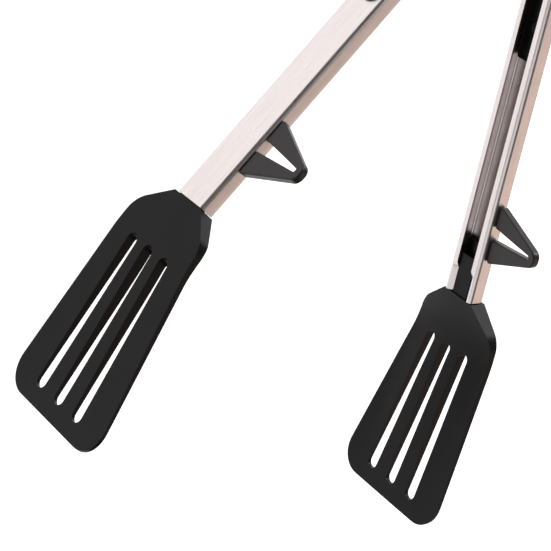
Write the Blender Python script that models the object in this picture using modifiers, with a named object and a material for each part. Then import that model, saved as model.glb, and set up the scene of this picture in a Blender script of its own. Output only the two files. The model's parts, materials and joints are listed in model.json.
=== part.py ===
# Slotted turner tongs with spring-opened arms, a pull lock and rest feet, in metres.
# They lie on the long edges of the two blades and on the hinge pin, with the feet upward.
# Each arm is modelled in its own frame: +X is outward from the other arm, -Y runs from the
# hinge to the blade, and Z is the hinge axis. The two arms' empties turn them open.
import math

import bmesh
import bpy
from mathutils import Matrix, Vector

# Driving dimensions
HALF_OPENING = math.radians(18.85)
ARM_LENGTH = 0.200        # hinge axis to the shoulder of the head
ARM_WIDTH = 0.0156
ARM_DEPTH = 0.0071
LIP_WIDTH = 0.0035
SHEET = 0.0008
BEND_RADIUS = 0.0012      # to the middle of the sheet
WEB_OFFSET = 0.010        # hinge axis to the outer face of the web
GAP = 0.0003              # between pieces that touch
CRIMP_START, CRIMP_END = 0.187, 0.1915
CRIMP_DEPTH = 0.0026      # how far the lips' edges are pressed in onto the tang

# Hinge end
WEB_START = 0.006
EAR_LENGTH = 0.030
RELIEF = 0.0010           # slot between an ear and the lip's start
EAR_RADIUS = 0.0088
EAR_STEP = 0.0017         # the right arm's end is necked in to stand inside the left arm's ears
STEP_START, STEP_END = 0.0185, 0.0225
PIN_RADIUS = 0.0020
PIN_HEAD_RADIUS, PIN_HEAD_RISE = 0.0042, 0.0012
BORE_RADIUS = 0.0023
BUSHING_WALL = 0.0012
WASHER_RADIUS, WASHER_THICKNESS = 0.0060, 0.0003
CROSS_PIN_RADIUS = 0.00125
LOCKED_AT = 0.016         # hinge axis to the cross pin when it is pulled
LOCK_TRAVEL = 0.006
UNLOCKED_AT = LOCKED_AT + LOCK_TRAVEL
CLOSED_ANGLE = math.radians(1.75)
SLIDE_PLATE, SLIDE_HALF = 0.0008, 0.0040
SLIDE_GAUGE = 0.0042      # middle plane to the inner face of a slide plate
TAB_PIN_AT = 0.016
TAB_PIN_HEAD = 0.0020
TAB_NECK_HALF, TAB_HALF, TAB_END = 0.0050, 0.0110, 0.0500
TAB_RIM = 0.0040          # width of the tab round its loop
LOOP_CORNER = 0.0040

# Spring
WIRE_RADIUS = 0.0007
COIL_RADIUS = 0.0045
COIL_TURNS = 3
COIL_RISE = 0.0060
SPRING_REACH = 0.024

# Grip
PAD_START, PAD_END = 0.026, 0.1100
PAD_WIDTH, PAD_THICKNESS = 0.0110, 0.0010
PAD_CORNER = 0.0050
LINER_START, LINER_END = 0.031, 0.1050
LINER_WIDTH, LINER_THICKNESS = 0.0118, 0.0016
LINER_CORNER = 0.0010
STUD_RADIUS = 0.0025
STUD_PLACES = (0.042, 0.067, 0.092)

# Head
BLADE_LENGTH = 0.0903
BLADE_BEND = math.radians(13.5)
BEND_AT = 0.0159          # shoulder to the bend
SHOULDER_HALF = 0.0083
SHOULDER_INSET = 0.0005   # the shoulder is this much thinner than the channel is deep
NECK_REACH, NECK_HALF = 0.0105, 0.0207
NECK_CORNER = 0.0100
TIP_HALF = 0.0299
TIP_CORNER = 0.0125
TIP_THICKNESS = 0.0015
NECK_THICKNESS, NECK_END = 0.0036, 0.0175
SLOT_START, SLOT_END = 0.0213, 0.0842
SLOT_HALF = 0.0026
SLOT_PITCH_START, SLOT_PITCH_END = 0.0100, 0.0124
TANG_START, TONGUE_START = 0.1835, 0.178
TANG_FLOOR = 0.0021       # thickness of the tang under the lips

# Foot
FOOT_START, FOOT_END = 0.1590, 0.1828
FOOT_HEIGHT = 0.0236
FOOT_THICKNESS = 0.0032
FOOT_INSET = 0.0014       # outer face of the web to the outer face of the foot
FOOT_WINDOW_HALF = 0.0026
FOOT_RIM = 0.0032          # window to apex
PEG_HALF = 0.0020         # half the length of a peg along the arm
PEG_INSET = 0.0004        # a peg is thinner than the foot by this on each face

model = None
cutters = None


def clear_scene():
    for old in list(bpy.data.objects):
        bpy.data.objects.remove(old, do_unlink=True)
    for old in list(bpy.data.collections):
        bpy.data.collections.remove(old)


def material(name, colour, roughness, metallic=0.0):
    found = bpy.data.materials.get(name)
    if found:
        return found
    made = bpy.data.materials.new(name)
    made.use_nodes = True
    shader = made.node_tree.nodes["Principled BSDF"]
    shader.inputs["Base Color"].default_value = (*colour, 1.0)
    shader.inputs["Roughness"].default_value = roughness
    shader.inputs["Metallic"].default_value = metallic
    return made


def stainless():
    return material("brushed_stainless", (0.62, 0.58, 0.56), 0.32, 1.0)


def spring_steel():
    return material("spring_steel", (0.45, 0.45, 0.46), 0.30, 1.0)


def black_nylon():
    return material("black_nylon", (0.030, 0.030, 0.032), 0.55)


def black_rubber():
    return material("black_grip_rubber", (0.018, 0.018, 0.018), 0.80)


def white_nylon():
    return material("natural_nylon", (0.75, 0.73, 0.68), 0.50)


# Outlines

def arc(centre, radius, start, end, steps):
    """Points on an arc from one angle to another, in degrees."""
    points = []
    for i in range(steps + 1):
        angle = math.radians(start + (end - start) * i / steps)
        points.append((centre[0] + radius * math.cos(angle), centre[1] + radius * math.sin(angle)))
    return points


def rounded(corners, steps=4):
    """An outline from (x, y, radius) corners; a radius of 0 leaves the corner sharp."""
    points = []
    for i, (x, y, radius) in enumerate(corners):
        here = Vector((x, y))
        before = Vector(corners[i - 1][:2]) - here
        after = Vector(corners[(i + 1) % len(corners)][:2]) - here
        if radius == 0:
            points.append((x, y))
            continue
        before.normalize()
        after.normalize()
        half = before.angle(after) / 2
        centre = here + (before + after).normalized() * radius / math.sin(half)
        first = here + before * radius / math.tan(half) - centre
        last = here + after * radius / math.tan(half) - centre
        turn = first.angle_signed(last)
        for k in range(steps + 1):
            angle = -turn * k / steps
            spoke = Matrix.Rotation(angle, 2) @ first
            points.append((centre.x + spoke.x, centre.y + spoke.y))
    return points


def disc(centre, radius, steps=24):
    return arc(centre, radius, 0, 360 - 360 / steps, steps - 1)


def place_along_arm(outline, side):
    """(distance from the hinge, distance outward) to the arm's X and Y."""
    return [(side * outward, -along) for along, outward in outline]


# Solids

PLANES = {
    "XY": Matrix.Identity(4),
    "YZ": Matrix(((0, 0, 1, 0), (1, 0, 0, 0), (0, 1, 0, 0), (0, 0, 0, 1))),
    "XZ": Matrix(((1, 0, 0, 0), (0, 0, -1, 0), (0, 1, 0, 0), (0, 0, 0, 1))),
}


def finish_mesh(name, mesh, parent, finish, collection):
    piece = bpy.data.objects.new(name, mesh)
    collection.objects.link(piece)
    piece.parent = parent
    if finish:
        mesh.materials.clear()
        mesh.materials.append(finish)
        mesh.shade_smooth()
        mesh.set_sharp_from_angle(angle=math.radians(35))
    else:
        piece.hide_render = True
        piece.display_type = "WIRE"
    return piece


def curve_mesh(name, curve):
    """The mesh of a curve, with its caps welded on."""
    guide = bpy.data.objects.new(name + "_guide", curve)
    bpy.context.scene.collection.objects.link(guide)
    bpy.context.view_layer.update()
    evaluated = guide.evaluated_get(bpy.context.evaluated_depsgraph_get())
    mesh = bpy.data.meshes.new_from_object(evaluated)
    bpy.data.objects.remove(guide, do_unlink=True)
    tidy = bmesh.new()
    tidy.from_mesh(mesh)
    bmesh.ops.remove_doubles(tidy, verts=tidy.verts, dist=0.000005)
    bmesh.ops.recalc_face_normals(tidy, faces=tidy.faces)
    tidy.to_mesh(mesh)
    tidy.free()
    mesh.name = name
    return mesh


def flat_curve(name, outlines, cyclic=True):
    curve = bpy.data.curves.new(name, "CURVE")
    curve.dimensions = "2D"
    for outline in outlines:
        spline = curve.splines.new("POLY")
        spline.points.add(len(outline) - 1)
        for point, (x, y) in zip(spline.points, outline):
            point.co = (x, y, 0, 1)
        spline.use_cyclic_u = cyclic
    return curve


def plate(name, outline, thickness, middle, parent, finish=None, plane="XY", holes=()):
    """A flat outline with holes, given its thickness about a middle distance on the plane's normal."""
    curve = flat_curve(name, [outline, *holes])
    curve.fill_mode = "BOTH"
    curve.extrude = thickness / 2
    mesh = curve_mesh(name, curve)
    mesh.transform(PLANES[plane] @ Matrix.Translation((0, 0, middle)))
    return finish_mesh(name, mesh, parent, finish, model if finish else cutters)


def strip(name, path, width, middle, parent, finish=None, plane="XY"):
    """Sheet bent along an open path in the plane and as wide as given across it."""
    curve = flat_curve(name, [path], cyclic=False)
    curve.fill_mode = "NONE"
    curve.extrude = width / 2
    mesh = curve_mesh(name, curve)
    mesh.transform(PLANES[plane] @ Matrix.Translation((0, 0, middle)))
    piece = finish_mesh(name, mesh, parent, finish, model if finish else cutters)
    wall = piece.modifiers.new("sheet", "SOLIDIFY")
    wall.thickness = SHEET
    wall.offset = 0
    wall.use_even_offset = True
    return piece


def turned(name, profile, parent, finish=None, axis="Z", place=(0, 0, 0), steps=24):
    """A profile of (radius, height) turned round an axis; it starts and ends on the axis or closes."""
    mesh = bpy.data.meshes.new(name)
    shape = bmesh.new()
    verts = [shape.verts.new((radius, 0, height)) for radius, height in profile]
    for a, b in zip(verts, verts[1:]):
        shape.edges.new((a, b))
    if profile[0][0] > 0:
        shape.edges.new((verts[-1], verts[0]))
    bmesh.ops.spin(shape, geom=shape.verts[:] + shape.edges[:], axis=(0, 0, 1), cent=(0, 0, 0),
                   angle=math.tau, steps=steps, use_duplicate=False)
    bmesh.ops.remove_doubles(shape, verts=shape.verts, dist=0.000005)
    bmesh.ops.recalc_face_normals(shape, faces=shape.faces)
    shape.to_mesh(mesh)
    shape.free()
    if axis == "X":
        mesh.transform(Matrix.Rotation(math.pi / 2, 4, "Y"))
    mesh.transform(Matrix.Translation(place))
    return finish_mesh(name, mesh, parent, finish, model if finish else cutters)


def box(name, low, high, parent, finish=None):
    mesh = bpy.data.meshes.new(name)
    shape = bmesh.new()
    bmesh.ops.create_cube(shape, size=1)
    size = [h - l for l, h in zip(low, high)]
    centre = [(h + l) / 2 for l, h in zip(low, high)]
    bmesh.ops.scale(shape, vec=size, verts=shape.verts)
    bmesh.ops.translate(shape, vec=centre, verts=shape.verts)
    shape.to_mesh(mesh)
    shape.free()
    return finish_mesh(name, mesh, parent, finish, model if finish else cutters)


def combine(piece, tool, operation):
    step = piece.modifiers.new(operation.lower(), "BOOLEAN")
    step.operation = operation
    step.solver = "EXACT"
    step.object = tool


# Arms

def arm_section(side):
    """Middle line of the sheet, from one lip round the web to the other lip."""
    web = side * (WEB_OFFSET - SHEET / 2)
    lip = side * (WEB_OFFSET - ARM_DEPTH + SHEET / 2)
    flange = ARM_WIDTH / 2 - SHEET / 2
    lip_edge = ARM_WIDTH / 2 - LIP_WIDTH
    corners = [(lip, -lip_edge, 0), (lip, -flange, BEND_RADIUS), (web, -flange, BEND_RADIUS),
               (web, flange, BEND_RADIUS), (lip, flange, BEND_RADIUS), (lip, lip_edge, 0)]
    return rounded(corners, steps=3)


def side_view():
    """The arm in (along, outward): an ear round the pin, a hook, the cross pin's notch, then the channel."""
    pin_away = LOCKED_AT * math.sin(CLOSED_ANGLE)
    clear = CROSS_PIN_RADIUS + GAP
    seat = (LOCKED_AT * math.cos(CLOSED_ANGLE) - GAP, -pin_away)
    hook_low, hook_tip = -0.0037, LOCKED_AT + 0.0023
    lip_plane = WEB_OFFSET - ARM_DEPTH
    relief = EAR_LENGTH - RELIEF / 2
    outline = arc((0, 0), EAR_RADIUS, 63, 337, 14)
    outline += [(hook_tip - 0.0006, hook_low), (hook_tip, hook_low + 0.0006), (hook_tip, seat[1] - clear)]
    outline += arc(seat, clear, 270, 90, 8)
    outline += [(hook_tip + 0.0012, seat[1] + clear), (0.0245, lip_plane), (relief, lip_plane)]
    outline += [(relief, lip_plane - 0.002), (ARM_LENGTH + 0.002, lip_plane - 0.002),
                (ARM_LENGTH + 0.002, WEB_OFFSET + 0.001), (WEB_START, WEB_OFFSET + 0.001)]
    return outline


def blank_channel(shape, side, stepped):
    """Shapes the sheet's middle surface: lips end at the ears, ears reach past the pin, lips are crimped."""
    flange_end = WEB_OFFSET - ARM_DEPTH + SHEET / 2 + BEND_RADIUS
    cuts = [EAR_LENGTH - RELIEF, EAR_LENGTH, CRIMP_START, (CRIMP_START + CRIMP_END) / 2, CRIMP_END]
    if stepped:
        cuts += [STEP_START, STEP_END]
    for along in cuts:
        bmesh.ops.bisect_plane(shape, geom=shape.verts[:] + shape.edges[:] + shape.faces[:],
                               plane_co=(0, -along, 0), plane_no=(0, 1, 0))
    spare = []
    for face in shape.faces:
        middle = face.calc_center_median()
        if -middle.y < EAR_LENGTH and side * middle.x < flange_end - 0.00005:
            spare.append(face)
    bmesh.ops.delete(shape, geom=spare, context="FACES")
    edges = []
    for edge in shape.edges:
        middle = (edge.verts[0].co + edge.verts[1].co) / 2
        at_end = abs(side * middle.x - flange_end) < 0.00005
        if edge.is_boundary and at_end and -middle.y < EAR_LENGTH - RELIEF:
            edges.append(edge)
    ears = bmesh.ops.extrude_edge_only(shape, edges=edges)["geom"]
    for vert in ears:
        if isinstance(vert, bmesh.types.BMVert):
            vert.co.x -= side * (flange_end + EAR_RADIUS + 0.001)
    edge = ARM_WIDTH / 2 - LIP_WIDTH + 0.0001
    for vert in shape.verts:
        along = -vert.co.y
        if stepped and along < STEP_END:
            reach = min((STEP_END - along) / (STEP_END - STEP_START), 1)
            vert.co.z -= math.copysign(EAR_STEP * reach, vert.co.z)
        elif abs(vert.co.z) < edge and along > CRIMP_START:
            reach = min((along - CRIMP_START) / (CRIMP_END - CRIMP_START), 1)
            vert.co.x += side * CRIMP_DEPTH * reach * reach * (3 - 2 * reach)


def make_arm(name, side, frame, stepped):
    first, last = -EAR_RADIUS - 0.001, ARM_LENGTH - GAP / 2
    arm = strip(name, arm_section(side), last - first, (last + first) / 2, frame, stainless(), "XZ")
    shape = bmesh.new()
    shape.from_mesh(arm.data)
    blank_channel(shape, side, stepped)
    bmesh.ops.recalc_face_normals(shape, faces=shape.faces)
    shape.to_mesh(arm.data)
    shape.free()
    half = ARM_WIDTH / 2
    outline = place_along_arm(side_view(), side)
    blank = plate(name + "_side_view", outline, 2 * ARM_WIDTH, 0, frame, holes=[disc((0, 0), BORE_RADIUS)])
    combine(arm, blank, "INTERSECT")
    for k, along in enumerate(STUD_PLACES):
        bore = turned(f"{name}_stud_bore_{k}", [(0, -0.002), (STUD_RADIUS + GAP, -0.002),
                      (STUD_RADIUS + GAP, 0.002), (0, 0.002)], frame, None, "X",
                      (side * (WEB_OFFSET - SHEET / 2), -along, 0), steps=16)
        combine(arm, bore, "DIFFERENCE")
    for k, along in enumerate(foot_peg_places()):
        low, high = foot_faces(side)
        slot = box(f"{name}_peg_slot_{k}", (low + PEG_INSET, -along - PEG_HALF - GAP, half - 0.002),
                   (high - PEG_INSET, -along + PEG_HALF + GAP, half + 0.001), frame)
        combine(arm, slot, "DIFFERENCE")
    return arm


# Grips

def strip_outline(start, end, width, corner):
    """(-along, across), with rounded corners."""
    half = width / 2
    return rounded([(-start, half, corner), (-start, -half, corner), (-end, -half, corner),
                    (-end, half, corner)], steps=6)


def make_grip(prefix, side, frame):
    face = side * (WEB_OFFSET + GAP + PAD_THICKNESS / 2)
    outline = strip_outline(PAD_START, PAD_END, PAD_WIDTH, PAD_CORNER)
    pad = plate(prefix + "_grip_pad", outline, PAD_THICKNESS, face, frame, black_rubber(), "YZ")
    liner_face = WEB_OFFSET - SHEET - GAP - LINER_THICKNESS / 2
    outline = strip_outline(LINER_START, LINER_END, LINER_WIDTH, LINER_CORNER)
    liner = plate(prefix + "_grip_liner", outline, LINER_THICKNESS, side * liner_face, frame,
                  black_nylon(), "YZ")
    inside = side * (liner_face - LINER_THICKNESS / 2 - 0.0004)
    outside = side * (WEB_OFFSET + GAP + PAD_THICKNESS / 2)
    for k, along in enumerate(STUD_PLACES):
        middle = (inside + outside) / 2
        reach = abs(outside - inside) / 2
        stud = turned(f"{prefix}_stud_{k}", [(0, -reach), (STUD_RADIUS, -reach), (STUD_RADIUS, reach),
                      (0, reach)], frame, None, "X", (middle, -along, 0), steps=16)
        combine(pad, stud, "UNION")
        bore = turned(f"{prefix}_liner_bore_{k}", [(0, -0.003), (STUD_RADIUS + GAP, -0.003),
                      (STUD_RADIUS + GAP, 0.003), (0, 0.003)], frame, None, "X",
                      (side * liner_face, -along, 0), steps=16)
        combine(liner, bore, "DIFFERENCE")


# Heads

def blade_point(reach, depth):
    """Along and outward of a point on the blade: reach from the shoulder, depth under the outer face."""
    bend_along = ARM_LENGTH + BEND_AT
    beyond = reach - BEND_AT / math.cos(BLADE_BEND)
    along = bend_along + beyond * math.cos(BLADE_BEND) - depth * math.sin(BLADE_BEND)
    outward = WEB_OFFSET + GAP - beyond * math.sin(BLADE_BEND) - depth * math.cos(BLADE_BEND)
    return along, outward


def blade_side_view():
    shoulder = ARM_LENGTH + GAP / 2
    inner_shoulder = WEB_OFFSET - ARM_DEPTH + SHOULDER_INSET
    past_tip = BLADE_LENGTH + 0.004
    return [(shoulder, WEB_OFFSET + GAP), (ARM_LENGTH + BEND_AT, WEB_OFFSET + GAP),
            blade_point(past_tip, 0), blade_point(past_tip, TIP_THICKNESS),
            blade_point(NECK_END, NECK_THICKNESS), (shoulder, inner_shoulder)]


def blade_outline():
    """Seen square to the arm: (-along, across), with splayed shoulders and a square tip."""
    shoulder = ARM_LENGTH + GAP / 2
    neck = ARM_LENGTH + NECK_REACH
    tip, _ = blade_point(BLADE_LENGTH, 0)
    half = [(-shoulder, SHOULDER_HALF, 0.0008), (-neck, NECK_HALF, NECK_CORNER), (-tip, TIP_HALF, TIP_CORNER)]
    other = [(x, -y, r) for x, y, r in reversed(half)]
    return rounded(half + other, steps=5)


def slot_outline(pitch_start, pitch_end):
    """A slot with round ends between the two places where its middle line starts and stops."""
    first, _ = blade_point(SLOT_START + SLOT_HALF, 0.002)
    last, _ = blade_point(SLOT_END - SLOT_HALF, 0.001)
    lean = math.degrees(math.atan2(pitch_end - pitch_start, last - first))
    start, end = (-first, pitch_start), (-last, pitch_end)
    return arc(start, SLOT_HALF, -90 - lean, 90 - lean, 6) + arc(end, SLOT_HALF, 90 - lean, 270 - lean, 6)


def make_head(name, side, frame):
    slots = []
    for step in (-1, 0, 1):
        slots.append(slot_outline(step * SLOT_PITCH_START, step * SLOT_PITCH_END))
    head = plate(name, blade_outline(), 0.060, 0, frame, black_nylon(), "YZ", holes=slots)
    wedge = plate(name + "_wedge", place_along_arm(blade_side_view(), side), 0.080, 0, frame)
    combine(head, wedge, "INTERSECT")
    top, lip_face = WEB_OFFSET - SHEET - GAP, WEB_OFFSET - ARM_DEPTH + 0.0005
    rooted = ARM_LENGTH + 0.002
    parts = (("floor", TONGUE_START, top - TANG_FLOOR, ARM_WIDTH / 2 - SHEET - GAP),
             ("rib", TANG_START, lip_face, ARM_WIDTH / 2 - LIP_WIDTH - GAP))
    for part, start, low, half in parts:
        profile = [(start, top), (rooted, top), (rooted, low), (start, low)]
        block = plate(f"{name}_tang_{part}", place_along_arm(profile, side), 2 * half, 0, frame)
        corner = block.modifiers.new("bend_clearance", "BEVEL")
        corner.width = 0.0007
        corner.segments = 1
        corner.limit_method = "ANGLE"
        combine(head, block, "UNION")
    return head


# Feet

def foot_peg_places():
    return FOOT_START + 0.0046, FOOT_END - 0.0066


def foot_faces(side):
    """X of the foot's two faces, lower first."""
    outer = side * (WEB_OFFSET - FOOT_INSET)
    inner = side * (WEB_OFFSET - FOOT_INSET - FOOT_THICKNESS)
    return sorted((outer, inner))


def make_foot(name, side, frame):
    base = ARM_WIDTH / 2 + GAP
    apex = ARM_WIDTH / 2 + FOOT_HEIGHT
    near_top, far_top = FOOT_START + 0.0093, FOOT_END - 0.0091
    outline = rounded([(-FOOT_START, base, 0.0010), (-near_top, apex, 0.0032),
                       (-far_top, apex - 0.0002, 0.0032), (-FOOT_END, base, 0.0018)], steps=5)
    middle = FOOT_START + 0.0116
    near, far, tip = -middle + FOOT_WINDOW_HALF, -middle - FOOT_WINDOW_HALF, -middle - 0.0003
    window_high = apex - FOOT_RIM
    hole = rounded([(far, base - 0.002, 0), (near, base - 0.002, 0), (near, base, 0),
                    (tip + 0.0007, window_high, 0.0006), (tip - 0.0007, window_high, 0.0006),
                    (far, base, 0)], steps=4)
    low, high = foot_faces(side)
    foot = plate(name, outline, FOOT_THICKNESS, (low + high) / 2, frame, black_nylon(), "YZ")
    window = plate(name + "_window", hole, 3 * FOOT_THICKNESS, (low + high) / 2, frame, plane="YZ")
    combine(foot, window, "DIFFERENCE")
    for k, along in enumerate(foot_peg_places()):
        rooted = ARM_WIDTH / 2 - SHEET - 0.0010
        peg = box(f"{name}_peg_{k}", (low + PEG_INSET + GAP, -along - PEG_HALF, rooted),
                  (high - PEG_INSET - GAP, -along + PEG_HALF, base + 0.0010), frame)
        combine(foot, peg, "UNION")
    return foot


# Hinge, spring and lock

def make_hinge(frame):
    steel = stainless()
    face = ARM_WIDTH / 2 + GAP
    head, top = PIN_HEAD_RADIUS, face + PIN_HEAD_RISE
    slope, edge = 0.0008, top - 0.0006
    end = face + 0.0008
    turned("hinge_pin", [(0, -top), (head - slope, -top), (head, -edge), (head, -face), (PIN_RADIUS, -face),
           (PIN_RADIUS, end), (0, end)], frame, steel)
    inner = PIN_RADIUS + GAP
    turned("hinge_pin_cap", [(inner, face), (head, face), (head, edge), (head - slope, top), (inner, top)],
           frame, steel)
    reach, outer = SLIDE_GAUGE - GAP, inner + BUSHING_WALL
    turned("hinge_bushing", [(inner, -reach), (outer, -reach), (outer, reach), (inner, reach)], frame,
           white_nylon())
    for name, sign in (("lower_ear_washer", -1), ("upper_ear_washer", 1)):
        near = sign * (ARM_WIDTH / 2 - SHEET - GAP)
        far = near - sign * WASHER_THICKNESS
        turned(name, [(inner, far), (WASHER_RADIUS, far), (WASHER_RADIUS, near), (inner, near)], frame,
               white_nylon())


def make_spring(frame):
    """Coils round the bushing, with one leg lying along the inside of each web."""
    leg_side = WEB_OFFSET - SHEET - GAP - WIRE_RADIUS - 0.0002
    sweep = math.pi - 2 * HALF_OPENING + math.tau * COIL_TURNS
    count = 14 * COIL_TURNS + 7
    coil = []
    for i in range(count + 1):
        angle = math.pi - HALF_OPENING - sweep * i / count
        height = COIL_RISE * (i / count - 0.5)
        coil.append(Vector((COIL_RADIUS * math.cos(angle), COIL_RADIUS * math.sin(angle), height)))
    legs = []
    for side in (-1, 1):
        turn = Matrix.Rotation(side * HALF_OPENING, 3, "Z")
        height = side * COIL_RISE / 2
        bend = turn @ Vector((side * (COIL_RADIUS + 0.0005), -0.004, height))
        foot = turn @ Vector((side * (leg_side - 0.0008), -SPRING_REACH + 0.004, height))
        end = turn @ Vector((side * leg_side, -SPRING_REACH, height))
        legs.append([bend, foot, end])
    route = list(reversed(legs[0])) + coil + legs[1]
    curve = bpy.data.curves.new("torsion_spring", "CURVE")
    curve.dimensions = "3D"
    spline = curve.splines.new("POLY")
    spline.points.add(len(route) - 1)
    for point, place in zip(spline.points, route):
        point.co = (*place, 1)
    curve.bevel_depth = WIRE_RADIUS
    curve.bevel_resolution = 2
    curve.use_fill_caps = True
    finish_mesh("torsion_spring", curve_mesh("torsion_spring", curve), frame, spring_steel(), model)


def make_lock(frame):
    steel = stainless()
    back, front = TAB_PIN_AT + 0.0035, -UNLOCKED_AT - 0.0030
    half, corner = SLIDE_HALF, 0.0028
    outline = rounded([(half, front, corner), (half, back, corner), (-half, back, corner),
                       (-half, front, corner)], steps=4)
    hinge_slot = arc((0, 0), BORE_RADIUS, 0, 180, 8) + arc((0, -LOCK_TRAVEL), BORE_RADIUS, 180, 360, 8)
    cross_hole = disc((0, -UNLOCKED_AT), CROSS_PIN_RADIUS + GAP, 16)
    tab_hole = disc((0, TAB_PIN_AT), CROSS_PIN_RADIUS + GAP, 16)
    for name, sign in (("lower_slide_plate", -1), ("upper_slide_plate", 1)):
        plate(name, outline, SLIDE_PLATE, sign * (SLIDE_GAUGE + SLIDE_PLATE / 2), frame, steel,
              holes=[hinge_slot, cross_hole, tab_hole])
    reach = ARM_WIDTH / 2 + 0.0004
    turned("lock_cross_pin", [(0, -reach), (CROSS_PIN_RADIUS, -reach), (CROSS_PIN_RADIUS, reach), (0, reach)],
           frame, steel, place=(0, -UNLOCKED_AT, 0), steps=16)
    outside = SLIDE_GAUGE + SLIDE_PLATE + GAP
    end = outside + 0.0006
    turned("pull_tab_pin", [(0, -end), (TAB_PIN_HEAD, -end), (TAB_PIN_HEAD, -outside),
           (CROSS_PIN_RADIUS, -outside), (CROSS_PIN_RADIUS, end), (0, end)],
           frame, steel, place=(0, TAB_PIN_AT, 0), steps=16)
    thick = 2 * (SLIDE_GAUGE - GAP)
    neck_start, neck_end, loop_start = 0.0080, 0.0200, 0.0280
    right = [(TAB_NECK_HALF, neck_start, 0.0025), (TAB_NECK_HALF, neck_end, 0.0060),
             (TAB_HALF, loop_start, 0.0060), (TAB_HALF, TAB_END, 0.0100)]
    left = [(-x, y, radius) for x, y, radius in reversed(right)]
    inner = TAB_HALF - TAB_RIM
    loop = rounded([(inner, loop_start + 0.0005, 0.0045), (inner, TAB_END - TAB_RIM, LOOP_CORNER),
                    (-inner, TAB_END - TAB_RIM, LOOP_CORNER), (-inner, loop_start + 0.0005, 0.0045)], steps=4)
    plate("pull_tab", rounded(right + left, steps=4), thick, 0, frame, black_nylon(),
          holes=[loop, disc((0, TAB_PIN_AT), CROSS_PIN_RADIUS + GAP, 16)])


def empty(name, parent):
    frame = bpy.data.objects.new(name, None)
    model.objects.link(frame)
    frame.parent = parent
    return frame


def lay_down(tongs):
    """Tilts the tongs onto the blades' edges and the hinge pin, and centres them over the origin."""
    along, outward = blade_point(BLADE_LENGTH - TIP_CORNER / 2, TIP_THICKNESS / 2)
    blade_reach = along * math.cos(HALF_OPENING) - outward * math.sin(HALF_OPENING)
    blade_low = TIP_HALF - TIP_THICKNESS / 2
    pin_low = ARM_WIDTH / 2 + GAP + PIN_HEAD_RISE
    tongs.rotation_euler.x = -math.atan2(blade_low - pin_low, blade_reach - PIN_HEAD_RADIUS)
    bpy.context.view_layer.update()
    graph = bpy.context.evaluated_depsgraph_get()
    corners = []
    for piece in model.objects:
        if piece.type != "MESH":
            continue
        seen = piece.evaluated_get(graph)
        corners += [seen.matrix_world @ vert.co for vert in seen.data.vertices]
    lowest = [min(corner[i] for corner in corners) for i in range(3)]
    highest = [max(corner[i] for corner in corners) for i in range(3)]
    tongs.location = (-(lowest[0] + highest[0]) / 2, -(lowest[1] + highest[1]) / 2, -lowest[2])
    bpy.context.view_layer.update()


def main():
    global model, cutters
    clear_scene()
    model = bpy.data.collections.new("turner_tongs")
    cutters = bpy.data.collections.new("cutters")
    bpy.context.scene.collection.children.link(model)
    bpy.context.scene.collection.children.link(cutters)
    tongs = empty("tongs", None)
    for prefix, side in (("left", -1), ("right", 1)):
        frame = empty(prefix + "_arm_frame", tongs)
        frame.rotation_euler.z = side * HALF_OPENING
        make_arm(prefix + "_arm", side, frame, stepped=side > 0)
        make_grip(prefix, side, frame)
        make_head(prefix + "_head", side, frame)
        make_foot(prefix + "_foot", side, frame)
    make_hinge(tongs)
    make_spring(tongs)
    slide_frame = empty("lock_slide_frame", tongs)
    make_lock(slide_frame)
    lay_down(tongs)


main()
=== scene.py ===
# Slotted turner tongs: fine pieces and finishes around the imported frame.
# Most pieces are modelled for the right arm, lying along -Y with its outside at +X, and then
# mirrored and turned onto the arm that they belong to. Lengths are in metres. Along an arm they run
# from the hinge axis, and along a head from its shoulder.
import json
import math

import bmesh
import bpy
from mathutils import Matrix, Vector


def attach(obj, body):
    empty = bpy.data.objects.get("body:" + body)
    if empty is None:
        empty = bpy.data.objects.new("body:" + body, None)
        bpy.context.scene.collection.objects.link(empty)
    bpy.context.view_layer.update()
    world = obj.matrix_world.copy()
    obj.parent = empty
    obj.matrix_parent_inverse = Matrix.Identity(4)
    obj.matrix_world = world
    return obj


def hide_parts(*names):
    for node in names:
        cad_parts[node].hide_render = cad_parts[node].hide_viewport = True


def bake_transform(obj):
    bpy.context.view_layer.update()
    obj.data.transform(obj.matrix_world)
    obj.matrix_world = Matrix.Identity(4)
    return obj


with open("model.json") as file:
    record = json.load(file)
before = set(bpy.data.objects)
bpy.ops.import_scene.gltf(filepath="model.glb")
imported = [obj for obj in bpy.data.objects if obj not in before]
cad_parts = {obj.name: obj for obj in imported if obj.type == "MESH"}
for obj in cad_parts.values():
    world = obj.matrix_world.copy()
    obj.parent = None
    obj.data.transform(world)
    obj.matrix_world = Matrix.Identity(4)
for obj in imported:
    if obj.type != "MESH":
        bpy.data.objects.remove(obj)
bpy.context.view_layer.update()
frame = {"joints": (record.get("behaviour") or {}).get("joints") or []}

# The tongs' place in the frame
joints = {joint["name"]: joint for joint in frame["joints"]}
pivot = Vector(joints["left_arm_closes"]["pos_m"])
hingeAxis = Vector(joints["left_arm_closes"]["axis"])
lay = Vector((0, 0, 1)).rotation_difference(hingeAxis).to_matrix().to_4x4()
tongsPlace = Matrix.Translation(pivot) @ lay
halfOpening = math.radians(18.85)
sides = {"left": -1, "right": 1}
gap = 0.0003          # between pieces that touch
past = 0.001          # how far a cutting tool runs past what it cuts
same = 1e-6           # places this close count as one
nearly = 1e-5         # the same, after a bevel or a cut

arm = {
    "length": 0.200, "width": 0.0156, "depth": 0.0071, "lip": 0.0035, "sheet": 0.0008, "bend": 0.0013,
    "web": 0.010, "webStart": 0.006, "earEnd": 0.029, "lipStart": 0.030, "earRadius": 0.0088,
    "bore": 0.0023, "neckIn": 0.0017, "neckFrom": 0.0185, "neckTo": 0.0225,
    "crimpFrom": 0.187, "crimpTo": 0.1915, "crimpDepth": 0.0017, "crimpSteps": 10, "lipCorner": 0.0011,
    "edge": 0.00012,
}


# Small helpers

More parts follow.
